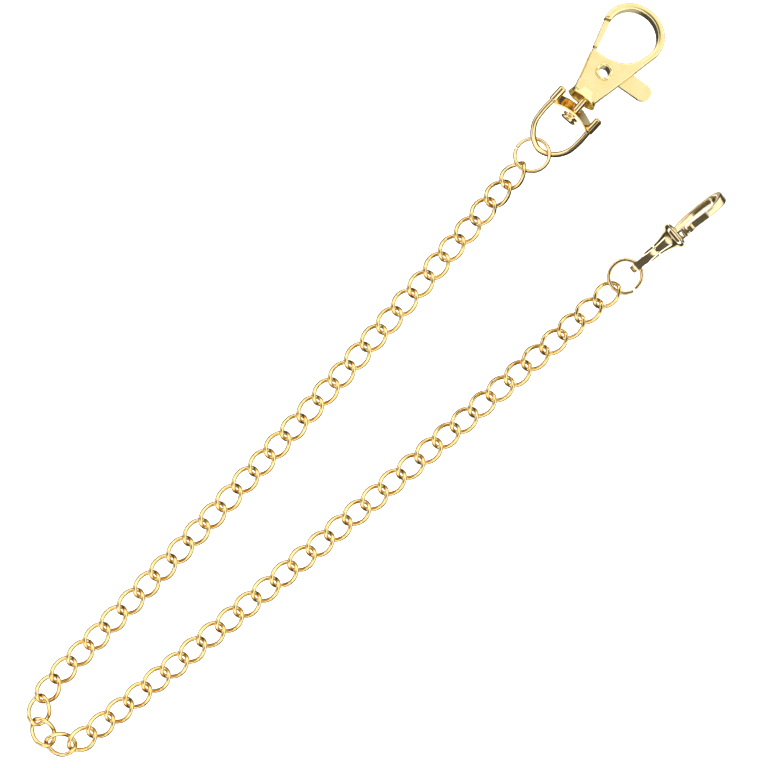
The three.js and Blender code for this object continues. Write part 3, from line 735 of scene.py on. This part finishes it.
def clasp_rivet():
    """The hollow rivet, its flanges rolled over on both cheeks."""
    inner = BODY_HALF_THICKNESS + FIT_GAP
    outer = inner + EYELET_FLANGE
    roll = 0.3
    profile = [(-inner, EYELET_BARREL_RADIUS), (-inner, EYELET_FLANGE_RADIUS),
               (-outer, EYELET_FLANGE_RADIUS), (-outer, EYELET_HOLE_RADIUS),
               (outer, EYELET_HOLE_RADIUS), (outer, EYELET_FLANGE_RADIUS),
               (inner, EYELET_FLANGE_RADIUS), (inner, EYELET_BARREL_RADIUS)]
    outline = rounded(profile, [0, 0.08, roll * 0.9, roll, roll, roll * 0.9, 0.08, 0], 6)
    bm = turned_piece(outline, 64)
    for v in bm.verts:  # the roll is a little uneven where it was pressed
        around = math.atan2(v.co.z, v.co.y)
        if abs(v.co.x) > inner and Vector((v.co.y, v.co.z)).length > EYELET_BARREL_RADIUS:
            v.co.x += math.copysign(0.03, v.co.x) * math.sin(8 * around)
    return stood_up(bm)


def trigger_lever():
    """The lever between the cheeks: gate bar above, thumb tab below."""
    corners = [(-0.05, TAB_CENTRE_Y), (-0.35, -3.4), (-3.0, -1.0), (-2.9, 1.4), (0.6, 4.45), (2.3, 4.8),
               (3.4, 4.9), (7.6, 6.0), (7.8, 5.5), (3.6, 4.6), (2.6, 4.1), (2.6, -0.5), (3.6, -5.6),
               (2 * TAB_RADIUS - 0.05, TAB_CENTRE_Y)]
    tab = arc((TAB_RADIUS - 0.05, TAB_CENTRE_Y), (TAB_RADIUS, TAB_RADIUS), 0, -180, 28)[1:-1]
    outline = [Vector(p) for p in corners] + tab
    bar = rounded([(3.3, 4.2), (9.3, 5.45), (8.95, 6.7), (3.0, 5.15)], [0.25, 0.2, 0.2, 0.25])
    above = 3
    spring_legs = block((-4, -1.2, SPRING_RECESS_BOTTOM), (0.2, 2.1, above))
    recess = combine(rod(SPRING_RECESS_RADIUS, SPRING_RECESS_BOTTOM, above), [("UNION", spring_legs)])
    return combine(slab(outline, LEVER_BOTTOM, LEVER_TOP, 0.16, 3), [
        ("DIFFERENCE", recess),
        ("DIFFERENCE", rod(EYELET_BARREL_RADIUS + 0.08, -3, 3)),
        ("UNION", slab(bar, -GATE_BAR_HALF, GATE_BAR_HALF, 0.24, 4)),
    ])


def trigger_spring():
    """A coil round the rivet, with a straight leg at each end."""
    top, bottom = 0.76, 0.1
    r = TRIGGER_SPRING_RADIUS
    steps = 36
    points = [(-3.9, -r, top), (-2, -r, top)]
    for i in range(steps + 1):
        share = i / steps
        a = -math.pi / 2 + share * TRIGGER_SPRING_TURNS * TAU
        points.append((r * math.cos(a), r * math.sin(a), mix((top, bottom), share)))
    points += [(-1.5, r, bottom), (-3, r, bottom)]
    return wire(smooth_path(points, 90), TRIGGER_SPRING_WIRE, 10, 0.03)


def swivel_pin():
    """The headed pin, with a groove round its head."""
    leaning_back = STRAP_LEAN * (PIN_HEAD_RADIUS + STRAP_WIDTH / 2)
    end = -STRAP_SETBACK - STRAP_THICKNESS / 2 - leaning_back - PIN_HEAD_GAP
    start = end - PIN_HEAD_THICKNESS
    groove = PIN_HEAD_RADIUS - PIN_GROOVE_DEPTH
    groove_start = start + PIN_GROOVE_SIDES[0]
    groove_end = end - PIN_GROOVE_SIDES[1]
    corners = [(start, 0), (start, PIN_HEAD_RADIUS), (groove_start, PIN_HEAD_RADIUS),
               (groove_start, groove), (groove_end, groove), (groove_end, PIN_HEAD_RADIUS),
               (end, PIN_HEAD_RADIUS), (end, PIN_RADIUS), (PIN_END, PIN_RADIUS), (PIN_END, 0)]
    return turned_piece(rounded(corners, [0, 0.25, 0.08, 0.06, 0.06, 0.08, 0.1, 0.05, 0.2, 0], 4), 48)


def yoke_strap():
    """The arched, leaning strap, with a rolled sleeve on each end for the bow."""
    half = STRAP_THICKNESS / 2
    width = STRAP_WIDTH / 2
    reach = BOW_HALF_WIDTH - 0.4
    steps = 22
    loops = []
    for i in range(steps + 1):
        t = i / steps
        y = mix((-reach, reach), t)
        rise = -STRAP_RISE + 4 * STRAP_RISE * t * (1 - t)
        front = rise + half
        back = rise - half
        corners = [(front, -width), (front - STRAP_THINNING, width), (back, width), (back, -width)]
        section = rounded(corners, [0.3, 0.16, 0.12, 0.2], 5)
        loops.append([Vector((p.x - STRAP_SETBACK - STRAP_LEAN * (p.y + width), y, p.y)) for p in section])
    sleeve_end = SLEEVE_START + SLEEVE_LENGTH
    sleeve = rounded([(SLEEVE_START, 0), (SLEEVE_START, SLEEVE_RADIUS), (sleeve_end, SLEEVE_RADIUS),
                      (sleeve_end, 0)], [0, 0.2, 0.2, 0], 4)
    joined, cut = [], []
    for y in (-BOW_HALF_WIDTH, BOW_HALF_WIDTH):
        barrel = turned_piece(sleeve, 36)
        bmesh.ops.translate(barrel, vec=(0, y, 0), verts=barrel.verts)
        joined.append(("UNION", barrel))
        cut.append(("DIFFERENCE", rod(BOW_WIRE_RADIUS + FIT_GAP, -6, 6, "x", (y, 0))))
    cut.append(("DIFFERENCE", rod(STRAP_HOLE_RADIUS, -3, 3, "x")))
    return combine(solid_from(loops), joined + cut)


def yoke_bow():
    """The D-shaped wire, from one sleeve round to the other."""
    side = [(0.9, BOW_HALF_WIDTH), (-2.6, BOW_HALF_WIDTH), (-5.6, 5.2), (-8.6, 4.7), (-11.1, 2.8)]
    back = [(x, -y) for x, y in reversed(side)]
    points = [(x, y, 0) for x, y in [*side, (-BOW_LENGTH, 0), *back]]
    return wire(smooth_path(points, 110), BOW_WIRE_RADIUS, 24, 0.1)


def build_clasp():
    """Every piece of the clasp and its yoke, with its place, body, node and slot."""
    for name, bm, place, body, node, slot in (
        ("trigger_clasp_body", clasp_body(), CLASP_PLACE, "clasp", "clasp_body", "clasp_gilt"),
        ("rolled_rivet", clasp_rivet(), CLASP_PLACE, "clasp", "clasp_rivet", "clasp_gilt"),
        ("trigger_and_gate", trigger_lever(), CLASP_PLACE, "trigger", "trigger_lever", "clasp_gilt"),
        ("trigger_coil", trigger_spring(), CLASP_PLACE, "clasp", "trigger_spring", "spring_steel"),
        ("headed_pin", swivel_pin(), PIN_PLACE, "clasp", "swivel_pin", "wire_gilt"),
        ("arched_strap", yoke_strap(), YOKE_PLACE, "yoke", "yoke_strap", "wire_gilt"),
        ("wire_bow", yoke_bow(), YOKE_PLACE, "yoke", "yoke_bow", "wire_gilt"),
    ):
        finish_piece(name, bm, place, body, node, slot)


# ---- dog clip --------------------------------------------------------------------------------

CLIP_PLACE = turned(CLIP_POSITION, *CLIP_TURN)
CLIP_EYE_PLACE = turned(CLIP_POSITION, *CLIP_EYE_TURN)


def clip_eye():
    """The flattened eye, its wedge-shaped stem with two small steps, and the headed shank."""
    profile = [(EYE_HOLE_X - EYE_RADIUS, 0)]
    profile += [(EYE_HOLE_X + p.x, p.y) for p in arc((0, 0), (EYE_RADIUS, EYE_RADIUS), 175, 90, 16)]
    profile += [(-7.2, 1.62), (-7.0, 1.52), (STEM_END - 0.15, STEM_RADIUS),
                (STEM_END, STEM_RADIUS - 0.12), (STEM_END, 0)]
    stem = turned_piece(profile, 48)
    side = [(STEM_END + 0.5, 1.6), (-7.3, 1.15), (-7.5, 1.0), (-8.6, 0.8), (EYE_HOLE_X - 3, 0.8)]
    wedge = rounded([(x, -y) for x, y in reversed(side)] + side, 0.04, 3)
    head = rounded([(-2.6, 0), (-2.6, 1.3), (-1.9, 1.1), (-1.9, 0)], [0, 0.12, 0.12, 0], 3)
    return combine(stem, [
        ("INTERSECT", prism(wedge, -3, 3)),
        ("DIFFERENCE", rod(EYE_HOLE_RADIUS, -3, 3, "y", (EYE_HOLE_X, 0))),
        ("UNION", rod(SHANK_RADIUS, STEM_END - 0.5, STEM_END + 2.7, "x")),
        ("UNION", turned_piece(head, 32)),
    ])


def clip_bell():
    """The bell: a waisted shell with a rolled lip."""
    bore = SHANK_RADIUS + 0.12
    outside = [(-4.75, bore), (-4.75, 1.28), (-4.68, 1.36), (-4.4, 1.4), (-3.6, 1.52), (-2.9, 1.68),
               (-2.2, 1.92), (-1.6, 2.2), (-1.1, 2.5), (-0.8, 2.78), (-0.62, 2.98), (-0.35, 3.1),
               (0, 3.15), (0.22, 3.1), (0.35, 2.95), (0.35, 2.6)]
    inside = [(0.1, 2.5), (-1.2, 1.95), (-3.0, 1.5), (-3.0, bore)]
    return turned_piece(outside + inside, 64)


def swelling(share, size, extra, place, spread):
    """A size that grows by an extra round one place along the hook."""
    return size + extra * math.exp(-((share - place) / spread) ** 2)


def clip_hook():
    """The fixed hook on its domed disc, with two ears for the gate's pin."""
    disc = rounded([(-0.6, 0), (-0.6, 1.5), (0.4, 1.7), (0.42, 2.85), (0.8, 2.6), (1.0, 1.6), (1.0, 0)],
                   [0, 0.1, 0, 0.12, 0.3, 0.3, 0], 4)
    path = smooth_path([(0.85, 2.0, 0), (2.6, 2.8, 0), (5.6, 3.3, 0), (8.6, 3.2, 0), (11.2, 2.2, 0),
                        (12.4, 0.3, 0), (12.0, -1.7, 0), (10.4, -2.8, 0), (8.3, -3.05, 0)], 68)
    loops = []
    for i, point in enumerate(path):
        ahead = direction(path, i)
        across = Vector((-ahead.y, ahead.x, 0))
        share = i / (len(path) - 1)
        deep = swelling(share, 0.55, 0.12, 0.68, 0.16)
        wide = swelling(share, 0.8, 0.3, 0.7, 0.14)
        section = rounded([(-deep, -wide), (deep, -wide), (deep, wide), (-deep, wide)], HOOK_CORNER, 5)
        loops.append([point + across * p.x + Vector((0, 0, p.y)) for p in section])
    ears = combine(rod(GATE_EYE_RADIUS, -EAR_HALF_SPAN, EAR_HALF_SPAN, "z", GATE_PIVOT), [
        ("UNION", block((0.7, GATE_PIVOT.y - 0.6, -EAR_HALF_SPAN),
                        (GATE_PIVOT.x, GATE_PIVOT.y + 0.7, EAR_HALF_SPAN))),
        ("DIFFERENCE", block((1.05, -4, -0.58), (4, 0, 0.58))),
    ])
    return combine(turned_piece(disc, 56), [
        ("UNION", solid_from(loops)),
        ("UNION", ears),
        ("DIFFERENCE", rod(GATE_PIN_RADIUS + 0.04, -3, 3, "z", GATE_PIVOT)),
    ])


def clip_gate():
    """The gate: an arm with a thumb nub near its pin, and a thin root with the pin's hole."""
    arm = rounded([(2.9, -2.55), (3.0, -3.3), (3.9, -3.4), (4.2, -2.75), (8.1, -3.3), (8.2, -2.3),
                   (3.2, -1.75)], [0.16, 0.16, 0.16, 0.16, 0.2, 0.2, 0.2], 3)
    root = ((GATE_PIVOT.x, -1.3), (3.6, -1.75), (3.6, -2.65), (GATE_PIVOT.x, -2.5))
    return combine(slab(arm, -0.8, 0.8, 0.14, 3), [
        ("UNION", rod(GATE_EYE_RADIUS - 0.1, -0.5, 0.1, "z", GATE_PIVOT)),
        ("UNION", prism(root, -0.49, 0.09)),
        ("DIFFERENCE", rod(GATE_PIN_RADIUS + 0.05, -3, 3, "z", GATE_PIVOT)),
    ])


def clip_gate_pin():
    """The pin that the gate turns on, its ends a little proud of the ears."""
    end = EAR_HALF_SPAN + 0.05
    corners = [(-end, 0), (-end, GATE_PIN_RADIUS), (end, GATE_PIN_RADIUS), (end, 0)]
    bm = stood_up(turned_piece(rounded(corners, [0, 0.1, 0.1, 0], 4), 28))
    bmesh.ops.translate(bm, vec=(GATE_PIVOT.x, GATE_PIVOT.y, 0), verts=bm.verts)
    return bm


def clip_gate_spring():
    """A small coil round the gate's pin, between the gate's root and an ear."""
    steps = 30
    points = []
    for i in range(steps + 1):
        share = i / steps
        a = share * GATE_SPRING_TURNS * TAU
        x = GATE_PIVOT.x + GATE_SPRING_RADIUS * math.cos(a)
        y = GATE_PIVOT.y + GATE_SPRING_RADIUS * math.sin(a)
        points.append((x, y, mix((0.21, 0.44), share)))
    return wire(smooth_path(points, 50), GATE_SPRING_WIRE, 8, 0.02)


def build_clip():
    """Every piece of the clip, with its place, body and node."""
    for name, bm, place, body, node in (
        ("eye_and_stem", clip_eye(), CLIP_EYE_PLACE, "clip_eye", "clip_eye"),
        ("bell", clip_bell(), CLIP_PLACE, "clip", "clip_bell"),
        ("hook_and_disc", clip_hook(), CLIP_PLACE, "clip", "clip_hook"),
        ("hook_gate", clip_gate(), CLIP_PLACE, "clip_gate", "clip_gate"),
        ("gate_pin", clip_gate_pin(), CLIP_PLACE, "clip", "clip_gate_pin"),
    ):
        finish_piece(name, bm, place, body, node, "clip_gilt")
    finish_piece("gate_coil", clip_gate_spring(), CLIP_PLACE, "clip", "clip_gate_spring", "spring_steel")


# ---- stage -----------------------------------------------------------------------------------

VIEW_HEADING = math.radians(43.9)  # which way is up in the camera's view, from +Y towards +X
VIEW_WIDTH = 0.1624  # metres
LENS = 115
SENSOR = 36

# in metres
FLOOR_RADIUS = 1.4
FLOOR_DROP = 0.25  # so that the chain doesn't dip into the floor when its joints bend
BACKDROP_RADIUS = 6
LAMP_HEIGHT = 1.4  # over the floor
LAMP_SIZE = 1.6
LAMP_POWER = 14

# strips of card round the clip, in its eye's frame: millimetres, and degrees from upright towards -Y
CARD_RADIUS = 26
CARD_ENDS = (-26, 9.5)
CARD_STRIPS = ((-165, -118, 0.5), (-100, -70, 0.02), (-70, -54, 1.1), (-54, 60, 0.04), (60, 80, 1.1),
               (80, 100, 0.02), (118, 165, 0.5))  # from, to and brightness
CARD_STEPS = 12

# the studio's brightness, at points from -1 to 1 of how far a direction reaches upwards, towards -X
# and towards +Y
STUDIO_HEIGHT = ((-1.0, 0.55), (-0.66, 0.50), (-0.52, 0.08), (0.04, 0.06), (0.14, 0.9), (0.4, 1.4),
                 (0.86, 1.4), (0.96, 1.0))
SHADE_REACH = ((-1.0, 1.0), (-0.10, 1.0), (-0.03, 0.12), (0.58, 0.12), (0.68, 0.9), (1.0, 1.0))
SHADE_WIDTH = ((-1.0, 1.0), (-0.22, 1.0), (-0.14, 0.0), (0.60, 0.0), (0.68, 1.0), (1.0, 1.0))


def build_camera():
    """Straight above, looking down, at the point that the chain was laid out around."""
    data = bpy.data.cameras.new("camera")
    data.lens = LENS
    data.sensor_width = SENSOR
    camera = bpy.data.objects.new("camera", data)
    bpy.context.scene.collection.objects.link(camera)
    distance = VIEW_WIDTH * LENS / SENSOR
    camera.location = (SHIFT.translation.x * MM, SHIFT.translation.y * MM, distance)
    camera.rotation_euler = (0, 0, -VIEW_HEADING)
    bpy.context.scene.camera = camera


def hide_from(obj, *rays):
    """Makes these kinds of ray pass the object by."""
    for ray in rays:
        setattr(obj, f"visible_{ray}", False)


def plain(name, level, strength):
    """A matt grey that also gives off some light of its own."""
    material = bpy.data.materials.new(name)
    material.use_nodes = True
    shader = material.node_tree.nodes["Principled BSDF"]
    shader.inputs["Base Color"].default_value = (level, level, level, 1)
    shader.inputs["Roughness"].default_value = 0.9
    shader.inputs["Specular IOR Level"].default_value = 0.1
    shader.inputs["Emission Color"].default_value = (level, level, level, 1)
    shader.inputs["Emission Strength"].default_value = strength
    return material


def build_floor():
    """A pale disc under the chain and a pale sphere round everything."""
    bm = bmesh.new()
    bmesh.ops.create_circle(bm, cap_ends=True, segments=96, radius=FLOOR_RADIUS)
    floor = as_object(bm, "floor")
    floor.location.z = -FLOOR_DROP
    floor.data.materials.append(plain("pale_floor", 0.93, 0.7))
    hide_from(floor, "glossy")
    bm = bmesh.new()
    bmesh.ops.create_uvsphere(bm, u_segments=64, v_segments=32, radius=BACKDROP_RADIUS)
    backdrop = as_object(bm, "backdrop")
    backdrop.data.materials.append(plain("pale_backdrop", 0.97, 1.0))
    hide_from(backdrop, "glossy", "diffuse", "shadow", "transmission")


def build_cards():
    """Strips of dark and pale card curved round the dog clip, seen only in the metal."""
    for number, (first, last, brightness) in enumerate(CARD_STRIPS):
        bm = bmesh.new()
        rows = []
        for step in range(CARD_STEPS + 1):
            angle = math.radians(mix((first, last), step / CARD_STEPS))
            y = -CARD_RADIUS * math.sin(angle)
            z = CARD_RADIUS * math.cos(angle)
            rows.append([bm.verts.new((x, y, z)) for x in CARD_ENDS])
        for row, following in zip(rows, rows[1:]):
            bm.faces.new((row[0], row[1], following[1], following[0]))
        bmesh.ops.transform(bm, matrix=Matrix.Scale(MM, 4) @ SHIFT @ CLIP_EYE_PLACE, verts=bm.verts)
        strip = as_object(bm, f"card_strip_{number}")
        strip.data.materials.append(plain(strip.name, brightness, 1.0))
        hide_from(strip, "camera", "diffuse", "shadow", "transmission")


def build_world():
    """A studio seen in the metal: a bright dome with a dark patch in it, and dark at the horizon."""
    world = bpy.data.worlds.new("studio")
    bpy.context.scene.world = world
    world.use_nodes = True
    nodes = world.node_tree.nodes
    links = world.node_tree.links
    background = nodes["Background"]
    place = nodes.new("ShaderNodeTexCoord")

    def level(towards, stops):
        """A brightness that follows how far a direction points towards a unit vector."""
        reach = nodes.new("ShaderNodeVectorMath")
        reach.operation = "DOT_PRODUCT"
        reach.inputs[1].default_value = towards
        links.new(place.outputs["Generated"], reach.inputs[0])
        share = nodes.new("ShaderNodeMapRange")
        share.inputs["From Min"].default_value = -1.0
        links.new(reach.outputs["Value"], share.inputs["Value"])
        ramp = nodes.new("ShaderNodeValToRGB")
        elements = ramp.color_ramp.elements
        elements[0].position, elements[1].position = [(stops[i][0] + 1) / 2 for i in (0, -1)]
        for cosine, _ in stops[1:-1]:
            elements.new((cosine + 1) / 2)
        for element, (_, value) in zip(sorted(elements, key=lambda e: e.position), stops):
            element.color = (value, value, value, 1)
        links.new(share.outputs["Result"], ramp.inputs["Fac"])
        return ramp.outputs["Color"]

    def blended(kind, first, second):
        """Two levels put together by a kind of blending."""
        both = nodes.new("ShaderNodeMix")
        both.data_type = "RGBA"
        both.blend_type = kind
        both.inputs["Factor"].default_value = 1.0
        links.new(first, both.inputs[6])
        links.new(second, both.inputs[7])
        return both.outputs[2]

    shade = blended("LIGHTEN", level((-1, 0, 0), SHADE_REACH), level((0, 1, 0), SHADE_WIDTH))
    studio = blended("MULTIPLY", level((0, 0, 1), STUDIO_HEIGHT), shade)
    links.new(studio, background.inputs["Color"])
    background.inputs["Strength"].default_value = 1.0


def build_lights():
    """One large soft lamp overhead, which the metal doesn't mirror."""
    data = bpy.data.lights.new("overhead", "AREA")
    data.shape = "DISK"
    data.size = LAMP_SIZE
    data.energy = LAMP_POWER
    lamp = bpy.data.objects.new("overhead", data)
    bpy.context.scene.collection.objects.link(lamp)
    lamp.location = (0, 0, LAMP_HEIGHT - FLOOR_DROP)
    hide_from(lamp, "glossy", "camera")


# ---- the whole chain -------------------------------------------------------------------------

build_camera()
build_links()
build_rings()
build_clasp()
build_clip()
build_floor()
build_cards()
build_world()
build_lights()
bpy.context.scene.view_settings.view_transform = "Standard"
